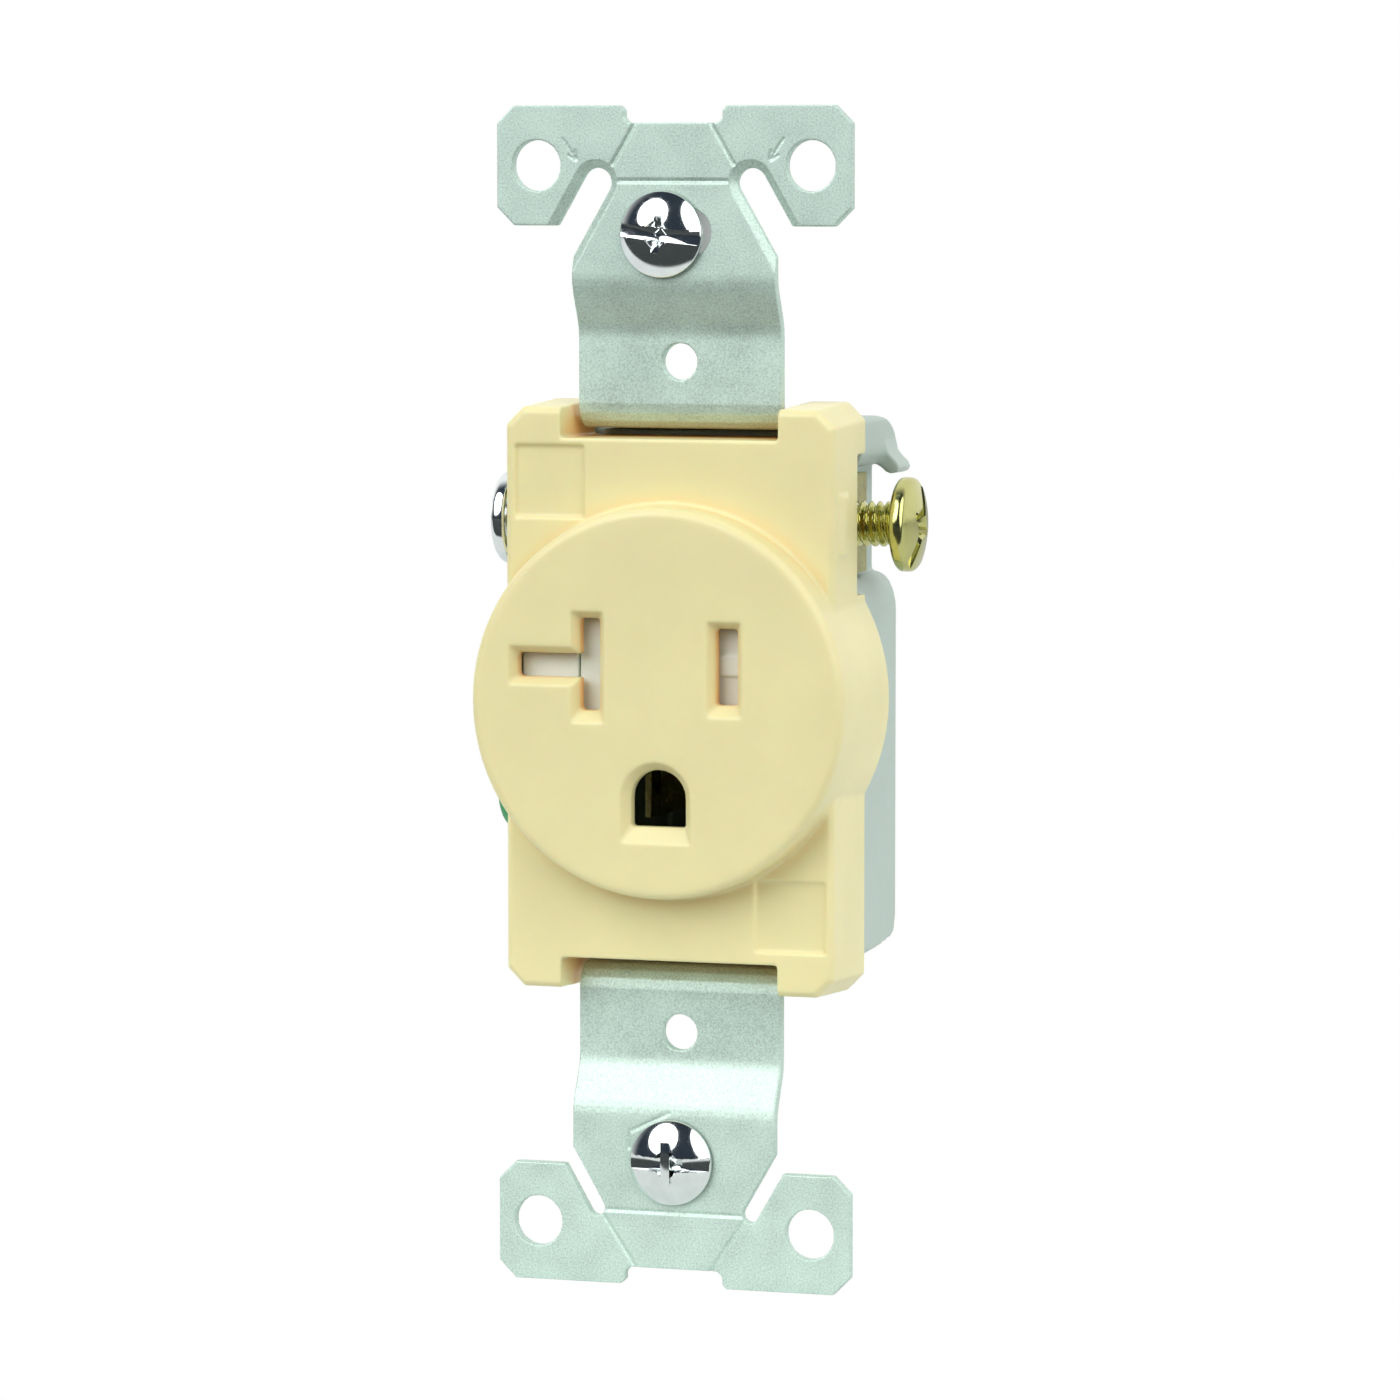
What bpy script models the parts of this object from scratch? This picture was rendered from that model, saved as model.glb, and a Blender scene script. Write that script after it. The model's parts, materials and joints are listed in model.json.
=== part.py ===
"""Single (simplex) 20 A wall receptacle with tamper-resistant shutters, as separate pieces.

+X is to the right of someone who faces the receptacle, +Y goes back into the wall and +Z is up.
The origin is the centre of the device on the front plane of the strap's ears, midway between
the two mounting screws. Sizes below are in millimetres; place() turns them into metres.
"""
import math

import bmesh
import bpy
from mathutils import Matrix, Vector

MM = 0.001
GAP = 0.3                      # kept between pieces that rest on each other
OFFSET = 0.01                  # keeps the faces of joined boxes out of one plane

# --- Strap: one galvanized strip that wraps round the ends and the back of the body ---
STRAP_THICKNESS = 1.1
EAR_HALF_WIDTH = 16.6
EAR_END = 52.95                # half of the strap's overall length
EAR_INNER_EDGE = 42.25
EAR_CHAMFER = 1.6
EAR_HOLE_X = 12.85
EAR_HOLE_Z = 47.6
EAR_HOLE_RADIUS = 2.27
END_NOTCH_HALF_WIDTH = 4.6
END_NOTCH_DEPTH = 1.55
TONGUE_HALF_WIDTH = 9.55
SLOT_END = (7.25, 46.1)        # centre of the round inner end of a slanted slot
SLOT_SLANT = math.radians(30)
TOP_SLOT_RADIUS = 1.3
BOTTOM_SLOT_RADIUS = 0.75
COIN_WIDTH = 0.75              # pressed edge round a top slot
COIN_DEPTH = 0.5
BOX_SCREW_Z = 83.34 / 2
BOX_SLOT_RADIUS = 2.15
BOX_SLOT_SHIFT = 1.46          # from the middle to the centre of a slot's round end
TOP_SCREW = (-0.96, BOX_SCREW_Z - 0.15)       # where the two screws hang in their slots
BOTTOM_SCREW = (-0.07, -BOX_SCREW_Z)
PLATE_SCREW_Z = 60.325 / 2
PLATE_HOLE_RADIUS = 1.65
PLATE_FRONT = 1.92             # front of the set-back stretch that takes the wall plate's screws
JOGGLE_START = 37.0
JOGGLE_END = 33.2
WRAP_INNER = 24.1              # inner face of the strap over each end of the body

# --- Body: face cover in front, base housing behind ---
FACE = -5.0                    # plug face, on the round boss
COVER_FRONT = -1.33
COVER_BACK = 8.4
COVER_HALF_WIDTH = 15.42
COVER_HALF_HEIGHT = 26.1
COVER_DRAFT = 0.45             # the cover's ends spread by this much towards the back
COVER_CORNER = 1.6
COVER_EDGE = 0.45              # chamfer round the front of the block
COVER_WALL = 1.65
BOSS_FRONT_RADIUS = 17.45
BOSS_BACK_RADIUS = 17.7
BOSS_EDGE = 0.8
BOSS_CAVITY_RADIUS = 15.3
FACE_INNER = -2.9
END_GROOVE_HALF_WIDTH = 10.2   # the strap passes through this groove in each end of the cover
END_GROOVE_FLOOR = 23.35
SIDE_NOTCH_FRONT = 6.05        # the cover's back edge is cut away here beside each terminal
SIDE_NOTCH = (-6.2, 6.4)       # its ends, from a terminal's middle

BASE_FRONT = COVER_BACK + GAP
BASE_BACK = 19.5
BASE_HALF_WIDTH = 15.0
BASE_TOP = 25.1
BASE_BOTTOM = -23.55
BASE_CHANNEL_FLOOR = 23.8      # the strap lies in this channel on the base's top
BASE_FLOOR = 17.9              # inner face of the base's back wall
STRAP_BACK_INNER = BASE_BACK + GAP
STRAP_BACK = STRAP_BACK_INNER + STRAP_THICKNESS

# --- Blade slots and ground hole, NEMA 5-20R, ground down ---
BLADE_X = 6.4
HOT_SLOT_WIDTH = 1.95
HOT_SLOT_LOW, HOT_SLOT_HIGH = 0.0, 6.8
NEUTRAL_SLOT_WIDTH = 1.8
NEUTRAL_SLOT_LOW, NEUTRAL_SLOT_HIGH = -0.75, 7.5
CROSS_SLOT_END = -13.2
CROSS_SLOT_LOW, CROSS_SLOT_HIGH = 2.15, 4.3
GROUND_Z = -8.45
GROUND_RADIUS = 2.55
PANEL_DEPTH = 0.35             # of the two blank square panels
FUNNEL_DEPTH = 1.0
FUNNEL_SIDE = 0.7
FUNNEL_BELOW = 1.1

# --- Terminals ---
TERMINAL_Z = 15.5
GROUND_TERMINAL_Z = -8.8
TERMINAL_Y = 10.5
TERMINAL_FACE = 13.8           # outer face of a terminal plate, from the middle
TERMINAL_THICKNESS = 0.8
TERMINAL_FRONT, TERMINAL_REAR = 6.6, 14.0
TERMINAL_HALF_HEIGHT = 4.5
TERMINAL_HOLE_RADIUS = 2.15
RECESS_FLOOR = 12.7
RECESS_LOW, RECESS_HIGH = 10.7, 20.5
UPPER_LIP = 1.6                # radius of the recess's upper edge
LOWER_LIP = (2.0, 3.4)         # width and height of its rounded lower edge
SHANK_CLEARANCE = 0.5          # round a terminal screw, in the base

# --- Fasteners ---
TERMINAL_SHANK_RADIUS = 2.05   # 8-32
TERMINAL_SHANK_LENGTH = 7.2
TERMINAL_HEAD_RADIUS = 4.25
TERMINAL_HEAD_HEIGHT = 2.1
TERMINAL_HEAD_BAND = 1.15      # height of the head's upright rim
BOX_SHANK_RADIUS = 1.7         # 6-32
BOX_SHANK_LENGTH = 16.0
BOX_HEAD_RADIUS = 3.85
BOX_HEAD_HEIGHT = 1.9
BOX_HEAD_BAND = 0.5
DRIVE_SLOT_WIDTH = 1.1
DRIVE_SLOT_DEPTH = 0.9
WASHER_HALF_WIDTH = 4.3
WASHER_HALF_HEIGHT = 3.4
WASHER_THICKNESS = 0.8
ASSEMBLY_Z = 19.5
ASSEMBLY_SHANK_RADIUS = 1.2
ASSEMBLY_CLEAR_RADIUS = 1.4
POST_RADIUS = 2.7
RIVET_Z = -13.4
RIVET_RADIUS = 1.1

# --- Shutters, behind the plug face ---
SHUTTER_FRONT, SHUTTER_BACK = -2.5, -0.85
SHUTTER_TRAVEL = 2.4
SHUTTER_LOW, SHUTTER_HIGH = -1.3, 8.2
SLIDER_LEFT, SLIDER_RIGHT = -7.85, 8.0
PLATFORM_FRONT, PLATFORM_BACK = -0.5, 0.7
PLATFORM_RADIUS = 14.9
PIN_CLEARANCE = 1.4            # round the ground hole, in the platform
SPRING_STOP_X = 13.6
SPRING_Y = -1.65
SPRING_Z = 3.4

# --- Contacts ---
LEAF_THICKNESS = 0.6
BLADE_HALF_GAP = 1.05          # from a blade's middle to the inner face of a leaf
CONTACT_FRONT = 1.3
CONTACT_REAR = 14.0
GROUND_CONTACT_REAR = 17.6


# ---------------------------------------------------------------- outlines and solids

def arc(centre, radius, start, end, steps):
    """Points on an arc; radius is one number, or two for an ellipse. Angles are in degrees."""
    rx, ry = radius if isinstance(radius, tuple) else (radius, radius)
    points = []
    for step in range(steps + 1):
        angle = math.radians(start + (end - start) * step / steps)
        points.append((centre[0] + rx * math.cos(angle), centre[1] + ry * math.sin(angle)))
    return points


def circle(centre, radius, segments=32):
    return arc(centre, radius, 0, 360 - 360 / segments, segments - 1)


def rectangle(x_low, x_high, z_low, z_high):
    return [(x_low, z_low), (x_high, z_low), (x_high, z_high), (x_low, z_high)]


def slanted_slot(side, end, radius, length=14.0):
    """Outline of a slot with a round inner end, slanting outwards from the strap's middle."""
    cx, cz = side * SLOT_END[0], end * SLOT_END[1]
    along = Vector((side * math.sin(SLOT_SLANT), -end * math.cos(SLOT_SLANT)))
    facing = math.degrees(math.atan2(-along.y, -along.x))
    points = arc((cx, cz), radius, facing - 90, facing + 90, 12)
    for x, z in (points[-1], points[0]):
        points.append((x + along.x * length, z + along.y * length))
    return points


def to_solid(bm):
    """A working object in millimetres, with its faces pointing out."""
    bmesh.ops.recalc_face_normals(bm, faces=bm.faces)
    mesh = bpy.data.meshes.new("solid")
    bm.to_mesh(mesh)
    bm.free()
    solid = bpy.data.objects.new("solid", mesh)
    bpy.context.scene.collection.objects.link(solid)
    return solid


def in_space(u, v, level, axis):
    """The point (u, v) of an outline drawn across an axis, at a level along that axis."""
    if axis == "X":
        return level, u, v
    if axis == "Y":
        return u, level, v
    return u, v, level


def loft(outline_a, level_a, outline_b, level_b, axis="Y"):
    """A closed solid between two outlines with the same number of points."""
    bm = bmesh.new()
    ring_a = [bm.verts.new(in_space(u, v, level_a, axis)) for u, v in outline_a]
    ring_b = [bm.verts.new(in_space(u, v, level_b, axis)) for u, v in outline_b]
    bm.faces.new(ring_a)
    bm.faces.new(ring_b)
    count = len(ring_a)
    for i in range(count):
        following = (i + 1) % count
        bm.faces.new((ring_a[i], ring_a[following], ring_b[following], ring_b[i]))
    return to_solid(bm)


def prism(outline, low, high, axis="Y"):
    return loft(outline, low, outline, high, axis)


def box(x_low, x_high, y_low, y_high, z_low, z_high):
    return prism(rectangle(x_low, x_high, z_low, z_high), y_low, y_high)


def aimed(centre, direction):
    """Matrix that moves the origin to a centre and turns +Z into a direction, with +Y upwards."""
    turn = Vector(direction).to_track_quat("Z", "Y").to_matrix().to_4x4()
    return Matrix.Translation(centre) @ turn


def turned(profile, centre, direction, segments=32):
    """A solid of revolution: profile holds (radius, distance along direction), ends at radius 0."""
    bm = bmesh.new()
    placed = aimed(centre, direction)
    rings = []
    for radius, along in profile:
        if radius == 0:
            rings.append([bm.verts.new(placed @ Vector((0, 0, along)))])
            continue
        ring = [bm.verts.new(placed @ Vector((x, y, along))) for x, y in circle((0, 0), radius, segments)]
        rings.append(ring)
    for lower, upper in zip(rings, rings[1:]):
        for i in range(segments):
            following = (i + 1) % segments
            corners = [lower[i % len(lower)], lower[following % len(lower)],
                       upper[following % len(upper)], upper[i % len(upper)]]
            bm.faces.new(list(dict.fromkeys(corners)))
    return to_solid(bm)


def rounded_path(points, radii, steps=4):
    """A polyline whose inner corners are replaced by arcs of the given radii."""
    path = [Vector(points[0])]
    for before, corner, after, radius in zip(points, points[1:], points[2:], radii):
        corner = Vector(corner)
        back = (Vector(before) - corner).normalized()
        ahead = (Vector(after) - corner).normalized()
        half_angle = back.angle(ahead) / 2
        reach = radius / math.tan(half_angle)
        centre = corner + (back + ahead).normalized() * (radius / math.sin(half_angle))
        first = corner + back * reach - centre
        last = corner + ahead * reach - centre
        sweep = first.angle(last)
        for step in range(steps + 1):
            t = step / steps
            blend = (first * math.sin((1 - t) * sweep) + last * math.sin(t * sweep)) / math.sin(sweep)
            path.append(centre + blend)
    path.append(Vector(points[-1]))
    return path


def ribbon(path, thickness):
    """Closed outline of sheet metal of an even thickness along a path."""
    left, right = [], []
    for i, point in enumerate(path):
        before = (point - path[i - 1]).normalized() if i > 0 else None
        after = (path[i + 1] - point).normalized() if i < len(path) - 1 else None
        before = before or after
        after = after or before
        tangent = (before + after).normalized()
        normal = Vector((-tangent.y, tangent.x))
        offset = normal * (thickness / 2) / max(tangent.dot(after), 0.5)
        left.append(tuple(point + offset))
        right.append(tuple(point - offset))
    return left + right[::-1]


# ---------------------------------------------------------------- joining and placing

def combine(solid, tool, operation):
    modifier = solid.modifiers.new("combine", "BOOLEAN")
    modifier.operation = operation
    modifier.solver = "EXACT"
    modifier.object = tool
    evaluated = solid.evaluated_get(bpy.context.evaluated_depsgraph_get())
    mesh = bpy.data.meshes.new_from_object(evaluated)
    solid.modifiers.clear()
    solid.data = mesh
    bpy.data.objects.remove(tool)
    return solid


def cut(solid, *tools):
    for tool in tools:
        combine(solid, tool, "DIFFERENCE")
    return solid


def join(solid, *tools):
    for tool in tools:
        combine(solid, tool, "UNION")
    return solid


def mirrored(solid):
    """The same solid on the other side of the middle."""
    solid.data.transform(Matrix.Scale(-1, 4, (1, 0, 0)))
    solid.data.flip_normals()
    return solid


def tidy_mesh(mesh):
    """Merge the points and edges that cutting leaves almost on top of each other."""
    bm = bmesh.new()
    bm.from_mesh(mesh)
    bmesh.ops.remove_doubles(bm, verts=bm.verts, dist=0.002)
    bmesh.ops.dissolve_degenerate(bm, edges=bm.edges, dist=0.002)
    bm.to_mesh(mesh)
    bm.free()


def place(solid, name, material, origin=(0, 0, 0)):
    """Name a finished solid, give it its material and turn millimetres into metres."""
    tidy_mesh(solid.data)
    solid.name = name
    solid.data.name = name
    solid.data.transform(Matrix.Scale(MM, 4) @ Matrix.Translation(-Vector(origin)))
    solid.location = Vector(origin) * MM
    solid.data.materials.clear()
    solid.data.materials.append(material)
    solid.data.shade_smooth()
    solid.data.set_sharp_from_angle(angle=math.radians(35))
    return solid


def make_material(name, colour, roughness, metallic):
    material = bpy.data.materials.new(name)
    material.use_nodes = True
    shader = material.node_tree.nodes["Principled BSDF"]
    shader.inputs["Base Color"].default_value = (*colour, 1.0)
    shader.inputs["Roughness"].default_value = roughness
    shader.inputs["Metallic"].default_value = metallic
    material.diffuse_color = (*colour, 1.0)
    return material


# ---------------------------------------------------------------- strap

def strap_profile():
    """Side view of the strap: ear, joggle, set-back plate, round the body, and the same below."""
    half = STRAP_THICKNESS / 2
    wrap = WRAP_INNER + half
    upper = [(half, EAR_END + 1), (half, JOGGLE_START), (PLATE_FRONT + half, JOGGLE_END),
             (PLATE_FRONT + half, wrap), (STRAP_BACK_INNER + half, wrap)]
    lower = [(y, -z) for y, z in reversed(upper)]
    radii = [4.0, 4.0, 1.75, 2.5, 2.5, 1.75, 4.0, 4.0]
    return ribbon(rounded_path(upper + lower, radii), STRAP_THICKNESS)


def strap_outline():
    """Front view of the strap, without its slots and holes."""
    inner = EAR_END - END_NOTCH_DEPTH
    nick = 0.45
    notch, side = END_NOTCH_HALF_WIDTH, EAR_HALF_WIDTH
    quarter = [(notch - nick, inner), (notch, inner + nick), (notch, EAR_END - nick),
               (notch + nick, EAR_END), (side - EAR_CHAMFER, EAR_END), (side, EAR_END - EAR_CHAMFER),
               (side, EAR_INNER_EDGE + EAR_CHAMFER), (side - EAR_CHAMFER, EAR_INNER_EDGE),
               (TONGUE_HALF_WIDTH, EAR_INNER_EDGE)]
    right = quarter + [(x, -z) for x, z in reversed(quarter)]
    return right + [(-x, z) for x, z in reversed(right)]


def groove(start, end, width=0.45, depth=0.28):
    """Cutter for a V groove in the front of the strap's ears, from one point to another."""
    start, end = Vector(start), Vector(end)
    along = (end - start).normalized()
    side = Vector((-along.y, along.x)) * width / 2
    bm = bmesh.new()
    rings = []
    for point in (start, end):
        corners = ((point + side, -0.02), (point - side, -0.02), (point, depth))
        rings.append([bm.verts.new((p.x, y, p.y)) for p, y in corners])
    bm.faces.new(rings[0])
    bm.faces.new(rings[1])
    for i in range(3):
        following = (i + 1) % 3
        bm.faces.new((rings[0][i], rings[0][following], rings[1][following], rings[1][i]))
    return to_solid(bm)


def cut_strap_ears(strap, end):
    """Slots, holes and score lines of one end; end is 1 at the top and -1 at the bottom."""
    radius = TOP_SLOT_RADIUS if end > 0 else BOTTOM_SLOT_RADIUS
    back = STRAP_THICKNESS + 1
    score_z = end * (SLOT_END[1] + 0.15)
    for side in (-1, 1):
        slot = slanted_slot(side, end, radius)
        cut(strap, prism(slot, -1, back))
        if end > 0:
            outer = slanted_slot(side, end, radius + COIN_WIDTH)
            cut(strap, loft(outer, -0.02, slanted_slot(side, end, radius + 0.1), COIN_DEPTH))
        cut(strap, prism(circle((side * EAR_HOLE_X, end * EAR_HOLE_Z), EAR_HOLE_RADIUS), -1, back))
        edge = radius + (COIN_WIDTH if end > 0 else 0)
        start = (side * (SLOT_END[0] - edge * 0.72), end * (SLOT_END[1] + edge * 0.72))
        cut(strap, groove(start, (side * 3.4, end * 51.6)))
    reach = SLOT_END[0] - radius - (COIN_WIDTH if end > 0 else 0)
    cut(strap, groove((-reach, score_z), (reach, score_z)))


def cut_gauge_arrows(strap):
    """Plain arrows that point to the two strip-gauge slots."""
    for side in (-1, 1):
        tail, tip = Vector((side * 10.4, 50.1)), Vector((side * 9.0, 48.0))
        along = (tip - tail).normalized()
        across = Vector((-along.y, along.x))
        cut(strap, groove(tail, tip, 0.3, 0.15))
        for hand in (-1, 1):
            barb = tip - along * 1.0 + across * 0.45 * hand
            cut(strap, groove(barb, tip, 0.3, 0.15))


def ground_tab():
    """The strap's own side tab, bent forwards along the base to take the ground screw."""
    half = STRAP_THICKNESS / 2
    outer = -(TERMINAL_FACE - half)
    path = [(-TONGUE_HALF_WIDTH + 2, STRAP_BACK_INNER + half), (outer, STRAP_BACK_INNER + half),
            (outer, TERMINAL_FRONT)]
    sheet = ribbon(rounded_path(path, [1.2]), STRAP_THICKNESS)
    low = GROUND_TERMINAL_Z - TERMINAL_HALF_HEIGHT
    tab = prism(sheet, low, low + 2 * TERMINAL_HALF_HEIGHT, "Z")
    hole = circle((TERMINAL_Y, GROUND_TERMINAL_Z), TERMINAL_HOLE_RADIUS, 24)
    return cut(tab, prism(hole, -TERMINAL_FACE - 1, -TERMINAL_FACE + 2, "X"))


def mounting_strap(material):
    strap = prism(strap_profile(), -EAR_HALF_WIDTH - 1, EAR_HALF_WIDTH + 1, "X")
    combine(strap, prism(strap_outline(), -1, STRAP_BACK + 1), "INTERSECT")
    for end in (-1, 1):
        cut_strap_ears(strap, end)
        screw_z = end * BOX_SCREW_Z
        right = arc((BOX_SLOT_SHIFT, screw_z), BOX_SLOT_RADIUS, -90, 90, 8)
        left = arc((-BOX_SLOT_SHIFT, screw_z), BOX_SLOT_RADIUS, 90, 270, 8)
        cut(strap, prism(right + left, -1, STRAP_THICKNESS + 1))
        plate_hole = circle((0, end * PLATE_SCREW_Z), PLATE_HOLE_RADIUS, 24)
        cut(strap, prism(plate_hole, PLATE_FRONT - 1, PLATE_FRONT + STRAP_THICKNESS + 1))
        rear_hole = circle((0, end * ASSEMBLY_Z), ASSEMBLY_CLEAR_RADIUS, 24)
        cut(strap, prism(rear_hole, STRAP_BACK_INNER - 1, STRAP_BACK + 1))
    cut_gauge_arrows(strap)
    corner = (-4.2, -39.1)
    cut(strap, groove((-4.2, -40.7), corner), groove(corner, (-0.3, -37.2)))
    join(strap, ground_tab())
    rivet_hole = circle((0, RIVET_Z), RIVET_RADIUS + 0.15, 20)
    cut(strap, prism(rivet_hole, STRAP_BACK_INNER - 1, STRAP_BACK + 1))
    return place(strap, "mounting_strap", material)


# ---------------------------------------------------------------- face cover

def t_slot_outline(side=0.0, above=0.0, below=0.0):
    """The T-shaped neutral slot, grown by the given amounts."""
    left = -BLADE_X - NEUTRAL_SLOT_WIDTH / 2 - side
    right = -BLADE_X + NEUTRAL_SLOT_WIDTH / 2 + side
    far = CROSS_SLOT_END - side
    low, high = NEUTRAL_SLOT_LOW - below, NEUTRAL_SLOT_HIGH + above
    cross_low, cross_high = CROSS_SLOT_LOW - above, CROSS_SLOT_HIGH + above
    return [(left, low), (right, low), (right, high), (left, high), (left, cross_high),
            (far, cross_high), (far, cross_low), (left, cross_low)]


def hot_slot_outline(side=0.0, above=0.0, below=0.0):
    half = HOT_SLOT_WIDTH / 2 + side
    return rectangle(BLADE_X - half, BLADE_X + half, HOT_SLOT_LOW - below, HOT_SLOT_HIGH + above)


def ground_outline(side=0.0, below=0.0):
    """Round on top and flat below."""
    radius = GROUND_RADIUS + side
    floor = GROUND_Z - GROUND_RADIUS - below
    return arc((0, GROUND_Z), radius, 0, 180, 12) + [(-radius, floor), (radius, floor)]


def cover_outline(spread, inset=0.0):
    """Front view of the block, with cut corners; spread is added to its ends only."""
    w, h = COVER_HALF_WIDTH - inset, COVER_HALF_HEIGHT - inset + spread
    c = COVER_CORNER - inset * (2 - math.sqrt(2))
    return [(-w + c, -h), (w - c, -h), (w, -h + c), (w, h - c),
            (w - c, h), (-w + c, h), (-w, h - c), (-w, -h + c)]


def cover_body():
    """The block with cut corners and grooved ends, and the round boss that stands out of it."""
    body = loft(cover_outline(0), COVER_FRONT, cover_outline(COVER_DRAFT), COVER_BACK)
    ahead, behind = 0.3, COVER_BACK - COVER_FRONT + 1
    narrow = cover_outline(0, COVER_EDGE + ahead)
    wide = cover_outline(0, COVER_EDGE - behind)
    combine(body, loft(narrow, COVER_FRONT - ahead, wide, COVER_FRONT + behind), "INTERSECT")
    reach = COVER_HALF_HEIGHT + 1
    for low, high in ((END_GROOVE_FLOOR, reach), (-reach, -END_GROOVE_FLOOR)):
        half = END_GROOVE_HALF_WIDTH
        cut(body, box(-half, half, COVER_FRONT - 1, COVER_BACK + 1, low, high))
    depth = COVER_BACK - FACE
    rounding = arc((BOSS_FRONT_RADIUS - BOSS_EDGE, BOSS_EDGE), BOSS_EDGE, -90, 0, 4)
    boss = turned([(0, 0)] + rounding + [(BOSS_BACK_RADIUS, depth), (0, depth)], (0, FACE, 0), (0, 1, 0), 96)
    return join(body, boss)


def cover_side_notches(cover):
    """The back edge is cut away beside each terminal, so that a screw's head can come in."""
    low_end, high_end = TERMINAL_Z + SIDE_NOTCH[0], TERMINAL_Z + SIDE_NOTCH[1]
    notches = ((1, low_end, high_end), (-1, low_end, high_end),
               (-1, GROUND_TERMINAL_Z - 5.0, GROUND_TERMINAL_Z + 5.0))
    for side, low, top in notches:
        inner, outer = sorted((side * 12.0, side * 19.0))
        cut(cover, box(inner, outer, SIDE_NOTCH_FRONT, COVER_BACK + 1, low, top))


def cut_plug_openings(cover):
    """Blade slots and ground hole, each at the bottom of a shallow funnel."""
    openings = ((t_slot_outline(), t_slot_outline(FUNNEL_SIDE, FUNNEL_SIDE, FUNNEL_BELOW)),
                (hot_slot_outline(), hot_slot_outline(FUNNEL_SIDE, FUNNEL_SIDE, FUNNEL_BELOW)),
                (ground_outline(), ground_outline(0.8, 1.5)))
    for opening, mouth in openings:
        cut(cover, prism(opening, FACE - 1, FACE_INNER + 1))
        cut(cover, loft(mouth, FACE - 0.02, opening, FACE + FUNNEL_DEPTH))


def face_cover(material):
    cover = cover_body()
    wall = COVER_WALL
    inner_width, inner_height = COVER_HALF_WIDTH - wall, END_GROOVE_FLOOR - wall
    cavity = box(-inner_width, inner_width, COVER_FRONT + wall, COVER_BACK + 1, -inner_height, inner_height)
    boss_cavity = prism(circle((0, 0), BOSS_CAVITY_RADIUS, 64), FACE_INNER, COVER_BACK + 2)
    cut(cover, join(cavity, boss_cavity))
    for end in (-1, 1):
        post = prism(circle((0, end * ASSEMBLY_Z), POST_RADIUS, 24), COVER_FRONT + 0.5, COVER_BACK - 0.4)
        join(cover, post)
        bore = circle((0, end * ASSEMBLY_Z), ASSEMBLY_CLEAR_RADIUS, 24)
        cut(cover, prism(bore, 2.0, COVER_BACK + 1))
    cut_plug_openings(cover)
    cover_side_notches(cover)
    panel = COVER_FRONT + PANEL_DEPTH
    cut(cover, box(-14.5, -7.9, COVER_FRONT - 1, panel, 16.2, 22.7))
    cut(cover, box(8.1, 14.7, COVER_FRONT - 1, panel, -22.2, -15.8))
    rib = prism(arc((COVER_HALF_WIDTH - 0.1, 1.4), (0.5, 1.6), -90, 90, 8), 13.2, 18.5, "Z")
    join(cover, rib)
    return place(cover, "face_cover", material)


# ---------------------------------------------------------------- base housing

def terminal_recess(side):
    """Cutter for a side recess with a flat floor and rounded lips above and below."""
    wall, reach = BASE_HALF_WIDTH, BASE_HALF_WIDTH + 2
    high, low = RECESS_HIGH + UPPER_LIP, RECESS_LOW - LOWER_LIP[1]
    outline = [(RECESS_FLOOR, RECESS_HIGH)]
    outline += arc((wall - UPPER_LIP, high), UPPER_LIP, -90, 0, 5)
    outline += [(reach, high), (reach, low)]
    outline += arc((wall - LOWER_LIP[0], low), LOWER_LIP, 0, 90, 6)
    outline += [(RECESS_FLOOR, RECESS_LOW)]
    return prism([(side * x, z) for x, z in outline], BASE_FRONT - 1, BASE_BACK + 1)


def wire_guard(side):
    """The small claw on the block above a terminal, which keeps the wire's loop in place."""
    outline = [(14.0, 22.9), (15.0, 22.9), (15.2, 21.9), (15.6, 21.35), (16.2, 20.75), (16.4, 20.35),
               (16.2, 19.95), (15.6, 19.75), (15.1, 19.9), (14.7, 20.3), (14.0, 20.7)]
    return prism([(side * x, z) for x, z in outline], 15.6, BASE_BACK - 0.2)


def base_shell():
    """The closed housing's outer block, with its rounded back and the strap's channel on top."""
    side_view = [(BASE_FRONT, BASE_BOTTOM), (10.0, BASE_BOTTOM), (14.3, BASE_BOTTOM + 0.4),
                 (18.0, BASE_BOTTOM + 0.85), (19.0, BASE_BOTTOM + 1.25), (BASE_BACK, BASE_BOTTOM + 2.6)]
    side_view += arc((13.5, 22.2), (BASE_BACK - 13.5, BASE_TOP - 22.2), 0, 90, 8) + [(BASE_FRONT, BASE_TOP)]
    base = prism(side_view, -BASE_HALF_WIDTH, BASE_HALF_WIDTH, "X")
    half, chamfer = BASE_HALF_WIDTH, 0.4
    front_view = [(-half + chamfer, BASE_BOTTOM), (half - chamfer, BASE_BOTTOM),
                  (half, BASE_BOTTOM + chamfer), (half, BASE_TOP - chamfer),
                  (half - chamfer, BASE_TOP), (-half + chamfer, BASE_TOP),
                  (-half, BASE_TOP - chamfer), (-half, BASE_BOTTOM + chamfer)]
    combine(base, prism(front_view, BASE_FRONT - 1, BASE_BACK + 1), "INTERSECT")
    channel = END_GROOVE_HALF_WIDTH
    return cut(base, box(-channel, channel, BASE_FRONT - 1, BASE_BACK + 1, BASE_CHANNEL_FLOOR, BASE_TOP + 1))


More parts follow.
